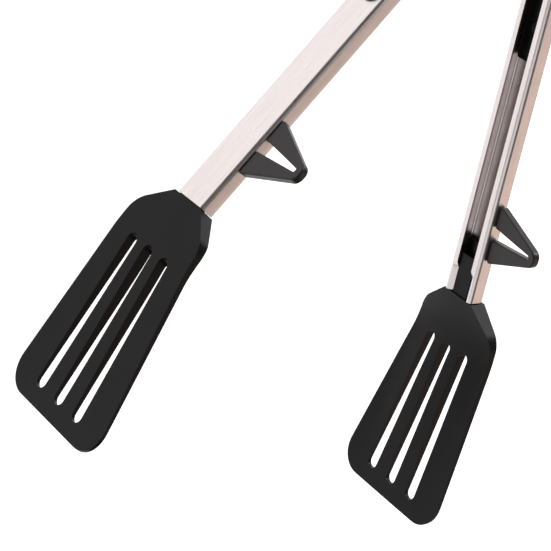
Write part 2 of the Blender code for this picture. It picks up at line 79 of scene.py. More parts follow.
def onlySelect(piece):
    bpy.ops.object.select_all(action="DESELECT")
    piece.select_set(True)
    bpy.context.view_layer.objects.active = piece


def named(name):
    piece = bpy.context.object
    piece.name = name
    piece.data.name = name
    return piece


def edit(piece):
    onlySelect(piece)
    bpy.ops.object.mode_set(mode="EDIT")


def done():
    bpy.ops.object.mode_set(mode="OBJECT")


def middle(part):
    if isinstance(part, bmesh.types.BMVert):
        return part.co
    return sum((vert.co for vert in part.verts), Vector()) / len(part.verts)


def pick(piece, kind, test):
    # selects the points, edges or faces whose middle and self pass the test, in edit mode
    bpy.ops.mesh.select_mode(type=kind)
    bpy.ops.mesh.select_all(action="DESELECT")
    shape = bmesh.from_edit_mesh(piece.data)
    parts = {"VERT": shape.verts, "EDGE": shape.edges, "FACE": shape.faces}[kind]
    for part in parts:
        if test(middle(part), part):
            part.select_set(True)
    shape.select_flush_mode()
    bmesh.update_edit_mesh(piece.data)


def block(name, low, high):
    size = [h - l for l, h in zip(low, high)]
    centre = [(l + h) / 2 for l, h in zip(low, high)]
    bpy.ops.object.select_all(action="DESELECT")
    bpy.ops.mesh.primitive_cube_add(size=1, location=centre)
    piece = named(name)
    piece.scale = size
    bpy.ops.object.transform_apply(location=True, rotation=True, scale=True)
    return piece


def rod(name, radius, low, high, x=0.0, y=0.0, along="Z", sides=48):
    turn = (0, math.pi / 2, 0) if along == "X" else (0, 0, 0)
    place = ((low + high) / 2, y, 0) if along == "X" else (x, y, (low + high) / 2)
    bpy.ops.object.select_all(action="DESELECT")
    bpy.ops.mesh.primitive_cylinder_add(vertices=sides, radius=radius, depth=high - low, location=place,
                                        rotation=turn)
    piece = named(name)
    bpy.ops.object.transform_apply(location=True, rotation=True, scale=True)
    return piece


def applied(piece, kind, **settings):
    onlySelect(piece)
    step = piece.modifiers.new(kind.lower(), kind)
    for key, value in settings.items():
        setattr(step, key, value)
    bpy.ops.object.modifier_apply(modifier=step.name)
    return piece


def carve(piece, tool, operation="DIFFERENCE"):
    applied(piece, "BOOLEAN", object=tool, operation=operation, solver="EXACT")
    bpy.data.objects.remove(tool, do_unlink=True)
    return piece


def eased(piece, width, segments=3, angle=35):
    return applied(piece, "BEVEL", width=width, segments=segments, limit_method="ANGLE",
                   angle_limit=math.radians(angle), use_clamp_overlap=True, miter_outer="MITER_ARC")


def roundEdges(piece, radiusAt, segments=8):
    # rounds the straight edges that radiusAt gives a tangent length for, by their middle
    wanted = {}
    shape = bmesh.from_edit_mesh(piece.data)
    for part in shape.edges:
        length = radiusAt(middle(part), part)
        if length:
            wanted.setdefault(round(length, 6), []).append(middle(part).copy())
    for length, places in wanted.items():
        pick(piece, "EDGE", lambda mid, part: any((mid - p).length < same for p in places))
        bpy.ops.mesh.bevel(offset=length, segments=segments, affect="EDGES", offset_type="OFFSET",
                           clamp_overlap=False)


def keepMakerPlace(piece):
    # the place on the unturned piece, which the finishes' patterns follow
    spots = piece.data.attributes.new("makerPlace", "FLOAT_VECTOR", "POINT")
    values = [value for vert in piece.data.vertices for value in vert.co]
    spots.data.foreach_set("vector", values)


def fit(piece, place):
    keepMakerPlace(piece)
    piece.data.transform(place)
    if place.determinant() < 0:
        piece.data.flip_normals()
    piece.data.update()
    return piece


def toArm(piece, side):
    turn = Matrix.Rotation(side * halfOpening, 4, "Z")
    return fit(piece, tongsPlace @ turn @ Matrix.Diagonal((side, 1, 1, 1)))


def toHinge(piece):
    return fit(piece, tongsPlace)


def coat(piece, finish, smooth):
    onlySelect(piece)
    bpy.ops.object.shade_smooth_by_angle(angle=math.radians(smooth))
    piece.data.materials.clear()
    piece.data.materials.append(finish)


def handOver(piece, body, node, finish, smooth=40):
    coat(piece, finish, smooth)
    applied(piece, "WEIGHTED_NORMAL", keep_sharp=True, weight=60)
    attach(piece, body)
    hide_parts(node)
    print("made", piece.name, len(piece.data.polygons), "faces")
    return piece


# Finishes

def hexColour(code):
    values = [int(code[i:i + 2], 16) / 255 for i in (1, 3, 5)]
    return (*[v / 12.92 if v <= 0.04045 else ((v + 0.055) / 1.055) ** 2.4 for v in values], 1.0)


def addNode(tree, kind, inputs=None, **settings):
    node = tree.nodes.new(kind)
    for key, value in settings.items():
        setattr(node, key, value)
    for key, value in (inputs or {}).items():
        if isinstance(value, bpy.types.NodeSocket):
            tree.links.new(value, node.inputs[key])
        else:
            node.inputs[key].default_value = value
    return node


def newFinish(name, **constants):
    finish = bpy.data.materials.new(name)
    finish.use_nodes = True
    tree = finish.node_tree
    shader = tree.nodes["Principled BSDF"]
    for key, value in constants.items():
        shader.inputs[key.replace("_", " ")].default_value = value
    place = addNode(tree, "ShaderNodeAttribute", attribute_name="makerPlace")
    return finish, tree, shader, place.outputs["Vector"]


def blendColours(tree, factor, first, second):
    ramp = addNode(tree, "ShaderNodeValToRGB", {"Fac": factor})
    ramp.color_ramp.elements[0].color = hexColour(first)
    ramp.color_ramp.elements[1].color = hexColour(second)
    return ramp


def brushedStainless():
    # 18/8 stainless sheet, belt-brushed along the strip: long fine lines that stretch a reflection
    finish, tree, shader, place = newFinish("brushedStainless", Metallic=1.0)
    linesPerMetre = 2600          # 0.4 mm, twice as coarse as the real grit so that it shows
    cloudsPerMetre = 140          # smears of handling, 7 mm across
    drawnOut = 0.018              # the pattern's scale along the strip
    stretch = addNode(tree, "ShaderNodeMapping", {"Vector": place, "Scale": (1, drawnOut, 1)})
    lines = addNode(tree, "ShaderNodeTexNoise", {"Vector": stretch.outputs["Vector"],
                    "Scale": linesPerMetre, "Detail": 5, "Roughness": 0.65})
    clouds = addNode(tree, "ShaderNodeTexNoise", {"Vector": place, "Scale": cloudsPerMetre, "Detail": 2})
    colour = blendColours(tree, lines.outputs["Fac"], "#CDC6C5", "#DED7D6")
    colour.color_ramp.elements[0].position = 0.3
    colour.color_ramp.elements[1].position = 0.7
    tree.links.new(colour.outputs["Color"], shader.inputs["Base Color"])
    worn = addNode(tree, "ShaderNodeMath", {0: lines.outputs["Fac"], 1: clouds.outputs["Fac"]},
                   operation="ADD")
    rough = addNode(tree, "ShaderNodeMapRange", {"Value": worn.outputs["Value"], "From Min": 0.6,
                    "From Max": 1.4, "To Min": 0.24, "To Max": 0.36})
    tree.links.new(rough.outputs["Result"], shader.inputs["Roughness"])
    relief = addNode(tree, "ShaderNodeBump", {"Height": lines.outputs["Fac"], "Strength": 0.25,
                     "Distance": 0.00003})
    tree.links.new(relief.outputs["Normal"], shader.inputs["Normal"])
    return finish


def springWire():
    # hard-drawn spring wire: bright, with faint die lines
    finish, tree, shader, place = newFinish("drawnSpringWire", Metallic=1.0)
    marksPerMetre = 2500
    marks = addNode(tree, "ShaderNodeTexNoise", {"Vector": place, "Scale": marksPerMetre, "Detail": 3})
    colour = blendColours(tree, marks.outputs["Fac"], "#8F8F92", "#B9B8B8")
    tree.links.new(colour.outputs["Color"], shader.inputs["Base Color"])
    rough = addNode(tree, "ShaderNodeMapRange", {"Value": marks.outputs["Fac"], "To Min": 0.2,
                    "To Max": 0.36})
    tree.links.new(rough.outputs["Result"], shader.inputs["Roughness"])
    return finish


def mouldedPlastic(name, colours, roughness, grain, relief, sheen):
    # a moulding from a spark-eroded tool: a fine even grain, with faint cloudy changes of sheen
    finish, tree, shader, place = newFinish(name, IOR=1.53, Specular_IOR_Level=sheen)
    cloudsPerMetre = 90
    pits = addNode(tree, "ShaderNodeTexNoise", {"Vector": place, "Scale": 1 / grain, "Detail": 3,
                   "Roughness": 0.6})
    clouds = addNode(tree, "ShaderNodeTexNoise", {"Vector": place, "Scale": cloudsPerMetre, "Detail": 3})
    colour = blendColours(tree, clouds.outputs["Fac"], *colours)
    colour.color_ramp.elements[0].position = 0.35
    colour.color_ramp.elements[1].position = 0.7
    tree.links.new(colour.outputs["Color"], shader.inputs["Base Color"])
    both = addNode(tree, "ShaderNodeMath", {0: pits.outputs["Fac"], 1: clouds.outputs["Fac"]},
                   operation="ADD")
    rough = addNode(tree, "ShaderNodeMapRange", {"Value": both.outputs["Value"], "From Min": 0.7,
                    "From Max": 1.3, "To Min": roughness[0], "To Max": roughness[1]})
    tree.links.new(rough.outputs["Result"], shader.inputs["Roughness"])
    bumps = addNode(tree, "ShaderNodeBump", {"Height": pits.outputs["Fac"], "Strength": 0.5,
                    "Distance": relief})
    tree.links.new(bumps.outputs["Normal"], shader.inputs["Normal"])
    return finish


steel = brushedStainless()
wire = springWire()
# glass-filled nylon of the heads, liners and pull tab
nylon = mouldedPlastic("mouldedBlackNylon", ("#0C0C0D", "#121213"), (0.27, 0.39),
                       grain=0.00035, relief=0.00003, sheen=0.11)
# the feet are another moulding, a little greyer
footNylon = mouldedPlastic("mouldedFootNylon", ("#1A1717", "#221E1E"), (0.30, 0.42),
                           grain=0.00035, relief=0.00003, sheen=0.31)
rubber = mouldedPlastic("softGripRubber", ("#101010", "#171616"), (0.70, 0.86),
                        grain=0.00050, relief=0.00005, sheen=0.25)
# unfilled nylon of the bushing and the washers
whiteNylon = mouldedPlastic("naturalNylon", ("#D9D4C8", "#E6E2D8"), (0.42, 0.55),
                            grain=0.00040, relief=0.00001, sheen=0.50)
print("finishes ready")


# Arms

ear = {
    "hookLow": -0.0037, "hookHigh": 0.007, "hookTip": 0.0183, "seat": 0.0157, "seatDown": -0.00049,
    "seatRadius": 0.00155,
}


def sideBlank():
    # the arm's side view as a thick block: an ear round the pin, a hook and the cross pin's notch;
    # each part has a width of its own, so that no two of their faces lie together
    wide = 2 * arm["width"]
    lipPlane = arm["web"] - arm["depth"]
    blank = block("sideBlank", (lipPlane - 2 * past, -arm["length"] - 2 * past, -wide / 2),
                  (arm["web"] + past, -arm["webStart"], wide / 2))
    hook = block("hook", (ear["hookLow"], -ear["hookTip"], -wide / 3), (ear["hookHigh"], 0.0, wide / 3))
    disc = rod("earDisc", arm["earRadius"], -wide / 2.2, wide / 2.2, sides=96)
    carve(blank, hook, "UNION")
    carve(blank, disc, "UNION")
    notch = rod("notch", ear["seatRadius"], -wide, wide, ear["seatDown"], -ear["seat"], sides=48)
    carve(blank, notch)
    way = block("way", (ear["seatDown"] - ear["seatRadius"], -ear["hookTip"] - past / 2, -wide),
                (ear["seatDown"] + ear["seatRadius"], -ear["seat"], wide))
    carve(blank, way)
    return carve(blank, rod("pinBore", arm["bore"], -wide, wide, sides=64))


def sheetPlanes():
    # middles of the web, flanges and lips, and the lips' edges
    half = arm["sheet"] / 2
    return (arm["web"] - half, arm["width"] / 2 - half, arm["web"] - arm["depth"] + half,
            arm["width"] / 2 - arm["lip"])


def foldedStrip(first, last):
    # the sheet's middle surface: a flat web, then flanges, lips and rounded bends
    web, flange, lip, lipEdge = sheetPlanes()
    bpy.ops.object.select_all(action="DESELECT")
    bpy.ops.mesh.primitive_plane_add(size=1, location=(web, -(first + last) / 2, 0),
                                     rotation=(0, math.pi / 2, 0))
    sheet = named("armSheet")
    sheet.scale = (2 * flange, last - first, 1)
    bpy.ops.object.transform_apply(location=True, rotation=True, scale=True)
    edit(sheet)
    pick(sheet, "EDGE", lambda mid, part: abs(mid.z) > flange - same)
    bpy.ops.mesh.extrude_edges_move(TRANSFORM_OT_translate={"value": (lip - web, 0, 0)})
    for sign in (-1, 1):
        pick(sheet, "EDGE", lambda mid, part: mid.x < lip + same and mid.z * sign > flange - same)
        bpy.ops.mesh.extrude_edges_move(TRANSFORM_OT_translate={"value": (0, 0, sign * (lipEdge - flange))})
    pick(sheet, "EDGE", lambda mid, part: abs(mid.z) > flange - same
         and part.calc_length() > arm["length"] / 2)
    bpy.ops.mesh.bevel(offset=arm["bend"], segments=7, affect="EDGES", clamp_overlap=False)
    return sheet


def drawOutEars(sheet):
    # at the hinge the lips stop and the flanges reach on past the pin
    lip = sheetPlanes()[2]
    flangeEnd = lip + arm["bend"]
    pick(sheet, "FACE", lambda mid, part: -mid.y < arm["lipStart"] and mid.x < flangeEnd - nearly)
    bpy.ops.mesh.delete(type="FACE")
    pick(sheet, "EDGE", lambda mid, part: part.is_boundary and abs(mid.x - flangeEnd) < nearly
         and -mid.y < arm["earEnd"])
    bpy.ops.mesh.extrude_edges_move(
        TRANSFORM_OT_translate={"value": (-flangeEnd - arm["earRadius"] - past, 0, 0)})


def crimpLips(sheet, places, last):
    # the lips' edges are pressed in onto the tang, and their end corners are rounded
    inside = sheetPlanes()[3] + 10 * nearly
    for along in places[1:]:
        reach = (along - places[0]) / (places[-1] - places[0])
        reach = reach * reach * (3 - 2 * reach)
        beyond = along > places[-1] - same
        pick(sheet, "VERT", lambda mid, part: abs(mid.z) < inside
             and (-mid.y > along - nearly if beyond else abs(mid.y + along) < nearly))
        bpy.ops.transform.translate(value=(arm["crimpDepth"] * reach, 0, 0))
    pick(sheet, "VERT", lambda mid, part: abs(mid.z) < inside and -mid.y > last - nearly)
    bpy.ops.mesh.bevel(offset=arm["lipCorner"], segments=5, affect="VERTICES", clamp_overlap=False)


def channelSheet(stepped):
    first, last = -arm["earRadius"] - past, arm["length"] - gap / 2
    sheet = foldedStrip(first, last)
    steps = arm["crimpSteps"]
    crimp = [arm["crimpFrom"] + (arm["crimpTo"] - arm["crimpFrom"]) * k / steps for k in range(steps + 1)]
    cuts = [arm["earEnd"], arm["lipStart"], *crimp]
    if stepped:
        cuts += [arm["neckFrom"], arm["neckTo"]]
    for along in cuts:
        bpy.ops.mesh.select_all(action="SELECT")
        bpy.ops.mesh.bisect(plane_co=(0, -along, 0), plane_no=(0, 1, 0))
    drawOutEars(sheet)
    if stepped:         # the right arm's hinge end is necked in to stand inside the left arm's ears
        for sign in (-1, 1):
            pick(sheet, "VERT", lambda mid, part: -mid.y < arm["neckTo"] - nearly and mid.z * sign > 0)
            bpy.ops.transform.translate(value=(0, 0, -sign * arm["neckIn"]))
    crimpLips(sheet, crimp, last)
    bpy.ops.mesh.select_all(action="SELECT")
    bpy.ops.mesh.normals_make_consistent(inside=False)
    done()
    return sheet


def makeArm(prefix, side):
    piece = channelSheet(stepped=side > 0)
    piece.name = prefix + "ArmChannel"
    applied(piece, "SOLIDIFY", thickness=arm["sheet"], offset=0, use_even_offset=True)
    carve(piece, sideBlank(), "INTERSECT")
    for along in grip["studs"]:
        carve(piece, rod("studBore", grip["studRadius"] + gap, arm["web"] - 3 * past,
                         arm["web"] + 2 * past, y=-along, along="X"))
    eased(piece, arm["edge"], 2, 50)
    toArm(piece, side)
    return handOver(piece, prefix, prefix + "_arm", steel, 40)


# Grips

grip = {
    "start": 0.026, "end": 0.1100, "width": 0.0110, "thick": 0.0010, "corner": 0.0050, "edge": 0.0005,
    "crown": 0.00030, "crownRings": ((0.0007, 0.0), (0.0016, 0.6), (0.0020, 0.4)),    # inset, share of crown
    "linerStart": 0.031, "linerEnd": 0.1050, "linerWidth": 0.0118, "linerThick": 0.0016,
    "linerCorner": 0.0010, "linerEdge": 0.0003,
    "studs": (0.042, 0.067, 0.092), "studRadius": 0.0025, "studEdge": 0.0007, "studProud": 0.0004,
    "studInPad": 0.0005,
}


def roundedStrip(name, start, end, width, low, high, corner):
    piece = block(name, (low, -end, -width / 2), (high, -start, width / 2))
    edit(piece)
    pick(piece, "EDGE", lambda mid, part: abs(abs(mid.z) - width / 2) < same
         and (abs(mid.y + start) < same or abs(mid.y + end) < same))
    bpy.ops.mesh.bevel(offset=corner, segments=14, affect="EDGES", clamp_overlap=False)
    return piece


def makeGrip(prefix, side):
    low = arm["web"] + gap
    high = low + grip["thick"]
    pad = roundedStrip(prefix + "GripPad", grip["start"], grip["end"], grip["width"], low, high,
                       grip["corner"])
    pick(pad, "FACE", lambda mid, part: mid.x > high - same)
    for width, share in grip["crownRings"]:
        bpy.ops.mesh.inset(thickness=width, depth=grip["crown"] * share)
    done()
    eased(pad, grip["edge"], 4, 50)
    outer = arm["web"] - arm["sheet"] - gap
    inner = outer - grip["linerThick"]
    liner = roundedStrip(prefix + "GripLiner", grip["linerStart"], grip["linerEnd"], grip["linerWidth"],
                         inner, outer, grip["linerCorner"])
    done()
    for along in grip["studs"]:
        carve(liner, rod("studBore", grip["studRadius"] + gap, inner - past, inner + 4 * past, y=-along,
                         along="X"))
    eased(liner, grip["linerEdge"], 3, 50)
    toArm(pad, side)
    handOver(pad, prefix, prefix + "_grip_pad", rubber)
    for k, along in enumerate(grip["studs"]):
        stud = rod(f"{prefix}GripStud{k + 1}", grip["studRadius"], inner - grip["studProud"],
                   arm["web"] + gap + grip["studInPad"], y=-along, along="X")
        eased(stud, grip["studEdge"], 4, 60)
        toArm(stud, side)
        coat(stud, rubber, 40)
        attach(stud, prefix)
    toArm(liner, side)
    handOver(liner, prefix, prefix + "_grip_liner", nylon)


# Heads

head = {
    "length": 0.0903, "bend": math.radians(13.5), "bendAt": 0.0159, "bendReach": 0.0080, "shoulder": 0.0083,
    "neckAt": 0.0105, "neck": 0.0207, "neckCorner": 0.0100, "tip": 0.0299, "tipCorner": 0.0125,
    "tipThick": 0.0011, "neckThick": 0.0044, "edgeThick": 0.0024, "neckEnd": 0.028, "shoulderCurve": 2.3,
    "shoulderInset": 0.0002, "edge": 0.0005,
    "slotStart": 0.0213, "slotEnd": 0.0842, "slotHalf": 0.0026, "pitchStart": 0.0100, "pitchEnd": 0.0124,
    "tongueStart": 0.178, "tangStart": 0.1835, "tangFloor": 0.0021, "tangRoot": 0.002, "ribInset": 0.0012,
    "ribGap": 0.0001,
}


def bladePoint(reach, depth):
    # along and outward, for a reach from the shoulder and a depth under the outer face
    beyond = reach - head["bendAt"] / math.cos(head["bend"])
    slant, drop = math.cos(head["bend"]), math.sin(head["bend"])
    along = arm["length"] + head["bendAt"] + beyond * slant - depth * drop
    outward = arm["web"] + gap - beyond * drop - depth * slant
    return Vector((along, outward))


def between(line, along):
    # height of a line of points at a distance along
    for (a, low), (b, high) in zip(line, line[1:]):
        if along <= b:
            return low + (high - low) * (along - a) / (b - a)
    return line[-1][1]


def bladeThickness(reach, across):
    # thin at the edges and crowned in the middle near the neck, flat and thin at the tip
    faded = min(max((head["length"] - reach) / (head["length"] - head["neckEnd"]), 0), 1)
    middleThick = head["tipThick"] + (head["neckThick"] - head["tipThick"]) * faded
    edgeThick = head["tipThick"] + (head["edgeThick"] - head["tipThick"]) * faded
    crown = max(1 - (across / head["neck"]) ** 2, 0)
    thick = edgeThick + (middleThick - edgeThick) * crown
    rise = max(1 - reach / head["neckEnd"], 0)
    return thick + (arm["depth"] - head["shoulderInset"] - thick) * rise ** head["shoulderCurve"]


def outerFace(along):
    # the flat neck runs smoothly into the slanted blade
    bendAlong, slope, reach = arm["length"] + head["bendAt"], math.tan(head["bend"]), head["bendReach"]
    beyond = along - bendAlong
    if abs(beyond) < reach:
        return arm["web"] + gap - slope * (beyond + reach) ** 2 / (4 * reach)
    return arm["web"] + gap - slope * max(beyond, 0)


def bladeOutline():
    # half widths at the shoulder, the neck and the tip
    return [(arm["length"] + gap / 2, head["shoulder"]), (arm["length"] + head["neckAt"], head["neck"]),
            (bladePoint(head["length"], 0).x, head["tip"])]


def flatBlade(name, plain):
    # the blade's outline with rounded corners, as a flat block
    outline = bladeOutline()
    shoulder, neck, tip = (along for along, half in outline)
    piece = block(name, (0, -neck, -plain), (plain, -shoulder, plain))
    edit(piece)
    pick(piece, "FACE", lambda mid, part: part.normal.y < -0.9)
    bpy.ops.mesh.extrude_region_move(TRANSFORM_OT_translate={"value": (0, neck - tip, 0)})
    shape = bmesh.from_edit_mesh(piece.data)
    for vert in shape.verts:
        along = min((shoulder, neck, tip), key=lambda station: abs(station + vert.co.y))
        vert.co.z = math.copysign(between(outline, along), vert.co.z)
    bmesh.update_edit_mesh(piece.data)
    flare = math.atan2(head["tip"] - head["neck"], tip - neck)
    neckTurn = math.atan2(head["neck"] - head["shoulder"], head["neckAt"]) - flare
    tipTurn = math.pi / 2 - flare

    def cornerLength(mid, part):
        start, end = (vert.co for vert in part.verts)
        if abs(start.z - end.z) > same or abs(start.y - end.y) > same:
            return 0
        if abs(mid.y + neck) < same:
            return head["neckCorner"] * math.tan(neckTurn / 2)
        return head["tipCorner"] * math.tan(tipTurn / 2) if abs(mid.y + tip) < same else 0

    roundEdges(piece, cornerLength, 12)
    return piece


def bladeBody(name):
    plain = 0.01          # thickness of the flat block, before its faces are bent
    neckRows, bladeRows, columns = 0.0015, 0.006, 0.0042      # distances between the rows of points
    bladeFrom = 0.02      # neck to where the wider rows start
    piece = flatBlade(name, plain)
    (shoulder, _), (neck, _), _ = bladeOutline()
    rows = [shoulder + neckRows * k for k in range(1, 18)]
    rows += [neck + bladeFrom + bladeRows * k for k in range(1, 10)]
    for along in rows:
        bpy.ops.mesh.select_all(action="SELECT")
        bpy.ops.mesh.bisect(plane_co=(0, -along, 0), plane_no=(0, 1, 0))
    for across in range(-5, 6):
        bpy.ops.mesh.select_all(action="SELECT")
        bpy.ops.mesh.bisect(plane_co=(0, 0, across * columns), plane_no=(0, 0, 1))
    shape = bmesh.from_edit_mesh(piece.data)
    for vert in shape.verts:
        along = -vert.co.y
        face = outerFace(along)
        slope = math.cos(head["bend"]) if along > arm["length"] + head["bendAt"] else 1
        reach = along - arm["length"]
        vert.co.x = face if vert.co.x > plain / 2 else face - bladeThickness(reach, vert.co.z) / slope
    bmesh.update_edit_mesh(piece.data)
    done()
    return piece


def slotCutter(step):
    # a long round-ended slot; the outer two lean outward toward the tip
    start, end = bladePoint(head["slotStart"], 2 * past).x, bladePoint(head["slotEnd"], past).x
    half, length, through = head["slotHalf"], end - start, 0.03
    lean = math.atan2(step * (head["pitchEnd"] - head["pitchStart"]), length - 2 * half)
    flat = 0.00002        # left between the two rounded edges of each end
    cutter = block("slotCutter", (-through, -length / 2, -half), (through, length / 2, half))
    edit(cutter)
    pick(cutter, "EDGE", lambda mid, part: abs(mid.x) < same and abs(abs(mid.y) - length / 2) < same)
    bpy.ops.mesh.bevel(offset=half - flat, segments=12, affect="EDGES", clamp_overlap=False)
    done()
    pitch = step * (head["pitchStart"] + head["pitchEnd"]) / 2
    place = Matrix.Translation((0, -(start + end) / 2, pitch))
    cutter.data.transform(place @ Matrix.Rotation(-lean, 4, "X"))
    return cutter


def makeHead(prefix, side):
    piece = bladeBody(prefix + "Head")
    for step in (-1, 0, 1):
        carve(piece, slotCutter(step))
    top = arm["web"] - arm["sheet"] - gap
    rooted = arm["length"] + head["tangRoot"]
    floorHalf = arm["width"] / 2 - arm["sheet"] - gap
    ribHalf = arm["width"] / 2 - arm["lip"] - gap
    tangFloor = block("tangFloor", (top - head["tangFloor"], -rooted, -floorHalf),
                      (top, -head["tongueStart"], floorHalf))
    tangRib = block("tangRib", (arm["web"] - arm["depth"] + head["ribInset"], -rooted, -ribHalf),
                    (top - head["ribGap"], -head["tangStart"], ribHalf))
    carve(piece, tangFloor, "UNION")
    carve(piece, tangRib, "UNION")
    eased(piece, head["edge"], 4, 30)
    toArm(piece, side)
    return handOver(piece, prefix, prefix + "_head", nylon, 30)


# Feet

foot = {
    "start": 0.1590, "end": 0.1828, "height": 0.0236, "thick": 0.0032, "inset": 0.0014,
    "topNear": 0.0093, "topFar": 0.0091, "topCorner": 0.0021, "baseCorner": 0.0016, "edge": 0.0006,
    "windowAt": 0.0116, "windowHalf": 0.0026, "rim": 0.0032, "windowTip": 0.0007, "windowLean": 0.0003,
    "windowCorner": 0.00055,
    "pegHalf": 0.0020, "pegInset": 0.0007, "pegNear": 0.0046, "pegFar": 0.0066, "pegDeep": 0.001,
}


def slimmed(piece, above, moved):
    # moves the points above a height along the arm, and leaves the piece in edit mode
    edit(piece)
    shape = bmesh.from_edit_mesh(piece.data)
    for vert in shape.verts:
        if vert.co.z > above:
            vert.co.y = moved(vert.co.y)
    bmesh.update_edit_mesh(piece.data)


def crosswise(part):
    # an edge through the foot's thickness
    start, end = (vert.co for vert in part.verts)
    return abs(start.y - end.y) < same and abs(start.z - end.z) < same


def makeFoot(prefix, side):
    low = arm["web"] - foot["inset"] - foot["thick"]
    high = arm["web"] - foot["inset"]
    base, apex = arm["width"] / 2 + gap, arm["width"] / 2 + foot["height"]
    upper = base + 10 * past
    piece = block(prefix + "Foot", (low, -foot["end"], base), (high, -foot["start"], apex))
    slimmed(piece, apex - same,
            lambda y: y - foot["topNear"] if abs(y + foot["start"]) < same else y + foot["topFar"])

    def cornerLength(mid, part):
        if not crosswise(part):
            return 0
        return foot["topCorner"] if mid.z > upper else foot["baseCorner"]

    roundEdges(piece, cornerLength, 10)
    done()
    centre = -(foot["start"] + foot["windowAt"])
    window = block("window", (low - 10 * past, centre - foot["windowHalf"], base - past),
                   (high + 10 * past, centre + foot["windowHalf"], apex - foot["rim"]))
    slimmed(window, apex - 10 * past,
            lambda y: centre - foot["windowLean"] + math.copysign(foot["windowTip"], y - centre))
    roundEdges(window, lambda mid, part: foot["windowCorner"] if mid.z > upper
               and abs(part.verts[0].co.x - part.verts[1].co.x) > same else 0, 8)
    done()
    carve(piece, window)
    eased(piece, foot["edge"], 4, 30)
    for along in (foot["start"] + foot["pegNear"], foot["end"] - foot["pegFar"]):
        root = arm["width"] / 2 - arm["sheet"] - foot["pegDeep"]
        peg = block("peg", (low + foot["pegInset"], -along - foot["pegHalf"], root),
                    (high - foot["pegInset"], -along + foot["pegHalf"], base + past))
        carve(piece, peg, "UNION")
    toArm(piece, side)
    return handOver(piece, prefix, prefix + "_foot", footNylon, 40)


for prefix, side in sides.items():
    makeArm(prefix, side)
    makeGrip(prefix, side)
    makeHead(prefix, side)
    makeFoot(prefix, side)
print("arms, grips, heads and feet ready")


# Hinge: riveted pin, its cap, the bushing and a washer on each side

hinge = {
    "pin": 0.0020, "head": 0.0042, "rise": 0.0012, "rimRound": 0.00108, "headEdge": 0.00015,
    "shaftRoot": 0.0004, "shaftOut": 0.0008,
    "wall": 0.0012, "bushingEdge": 0.0002, "washer": 0.0060, "washerThick": 0.0003, "washerEdge": 0.00008,
    "gauge": 0.0042,      # middle plane to the inner face of a slide plate
}


def ring(name, outer, inner, low, high, edge):
    piece = rod(name, outer, low, high, sides=96)
    carve(piece, rod("bore", inner, low - past, high + past, sides=96))
    return eased(piece, edge, 3, 50)


def domedHead(name, low, high):
    # a low rivet head: the rim of its free side is rounded over
    piece = rod(name, hinge["head"], low, high, sides=96)
    edit(piece)
    free = low if abs(low) > abs(high) else high
    pick(piece, "EDGE", lambda mid, part: abs(mid.z - free) < same)
    bpy.ops.mesh.bevel(offset=hinge["rimRound"], segments=8, affect="EDGES", clamp_overlap=False)
    done()
    return piece


def makeHinge():
    face = arm["width"] / 2 + gap
    top = face + hinge["rise"]
    pin = domedHead("hingePin", -top, -face)
    carve(pin, rod("shaft", hinge["pin"], -face - hinge["shaftRoot"], face + hinge["shaftOut"], sides=64),
          "UNION")
    cap = domedHead("hingePinCap", face, top)
    carve(cap, rod("capBore", hinge["pin"] + gap, face - past, top + past, sides=64))
    for piece, node in ((pin, "hinge_pin"), (cap, "hinge_pin_cap")):
        eased(piece, hinge["headEdge"], 3, 50)
        toHinge(piece)
        handOver(piece, "hinge", node, steel)
    inner, reach = hinge["pin"] + gap, hinge["gauge"] - gap
    bushing = ring("hingeBushing", inner + hinge["wall"], inner, -reach, reach, hinge["bushingEdge"])
    handOver(toHinge(bushing), "hinge", "hinge_bushing", whiteNylon)
    for level, sign in (("lower", -1), ("upper", 1)):
        near = sign * (arm["width"] / 2 - arm["sheet"] - gap)
        far = near - sign * hinge["washerThick"]
        washer = ring(level + "EarWasher", hinge["washer"], inner, min(near, far), max(near, far),
                      hinge["washerEdge"])
        handOver(toHinge(washer), "hinge", level + "_ear_washer", whiteNylon)


# Spring: one wire round the bushing, made as two halves, each with its leg toward one arm

spring = {
    "wire": 0.0007, "coil": 0.0045, "rise": 0.0060, "turns": 3, "rootBack": 0.004,
    "start": 161.15, "split": 431.15, "step": 10,         # degrees round the coil
    "leg": ((0.0050, -0.0040), (0.0060, -0.0110), (0.0072, -0.0200), (0.0080, -0.0240)),
}


def springHalf(name, side):
    whole = 360 * spring["turns"] + 180 - 2 * math.degrees(halfOpening)
    first, last = (0, spring["split"]) if side < 0 else (spring["split"], whole)
    steps = math.ceil((last - first) / spring["step"])
    route = []
    for k in range(steps + 1):
        turned = first + (last - first) * k / steps
        angle = math.radians(spring["start"] - turned)
        height = spring["rise"] * (turned / whole - 0.5)
        route.append(Vector((math.cos(angle) * spring["coil"], math.sin(angle) * spring["coil"], height)))
    turn = Matrix.Rotation(side * halfOpening, 3, "Z")
    leg = [turn @ Vector((side * x, y, side * spring["rise"] / 2)) for x, y in spring["leg"]]
    route = leg[::-1] + route if side < 0 else route + leg
    bpy.ops.object.select_all(action="DESELECT")
    bpy.ops.curve.primitive_nurbs_path_add()
    path = bpy.context.object
    path.data.splines.clear()
    line = path.data.splines.new("POLY")
    line.points.add(len(route) - 1)
    for point, place in zip(line.points, route):
        point.co = (*place, 1)
    path.data.bevel_depth = spring["wire"]
    path.data.bevel_resolution = 5
    path.data.use_fill_caps = True
    bpy.ops.object.convert(target="MESH")
    return named(name)


def makeSpring():
    for prefix, side in sides.items():
        half = toHinge(springHalf(prefix + "SpringHalf", side))
        coat(half, wire, 50)
        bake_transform(half)
        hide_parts("torsion_spring")


# Lock: two slide plates on a cross pin, drawn by the pull tab

